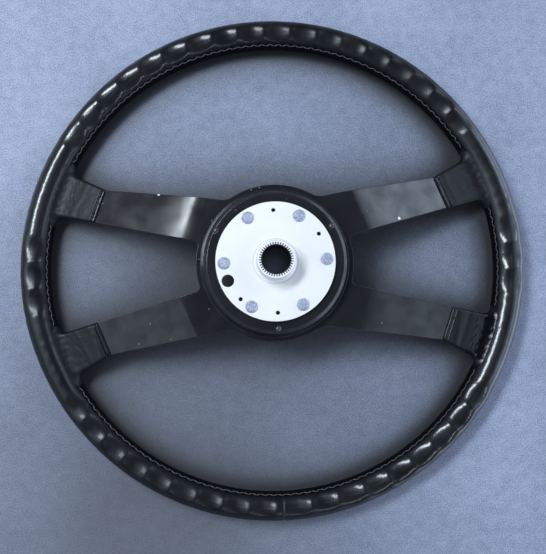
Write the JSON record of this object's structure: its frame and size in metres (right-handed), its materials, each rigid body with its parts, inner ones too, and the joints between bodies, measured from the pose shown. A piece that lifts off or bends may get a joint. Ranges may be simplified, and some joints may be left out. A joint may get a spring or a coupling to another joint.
{
  "type": "car steering wheel",
  "caption": "Four-spoke car steering wheel with a leather rim with finger hollows, a drawn steel spider and a riveted splined hub, seen from its column side.",
  "frame": {"origin": "on the spline's axis, at the height of the floor that the rim lies on", "axes": "+Z along the spline's axis towards the steering column, +Y to the top of the wheel, +X to the right as seen from the column side"},
  "size_m": [0.3994, 0.4, 0.075],
  "materials": {
    "leather": "black satin leather, worn smooth",
    "bare_steel": "mill finish",
    "black_paint": "satin black paint",
    "plated_steel": "bright plated steel",
    "rivet_steel": "hammered steel"
  },
  "bodies": {
    "root": {"rim_grip": "leather", "rim_hoop": "bare_steel", "spoke_spider": "black_paint", "splined_hub": "plated_steel", "hub_rivets": "rivet_steel", "boot_upper_right": "leather", "boot_upper_left": "leather", "boot_lower_right": "leather", "boot_lower_left": "leather"}
  },
  "joints": []
}
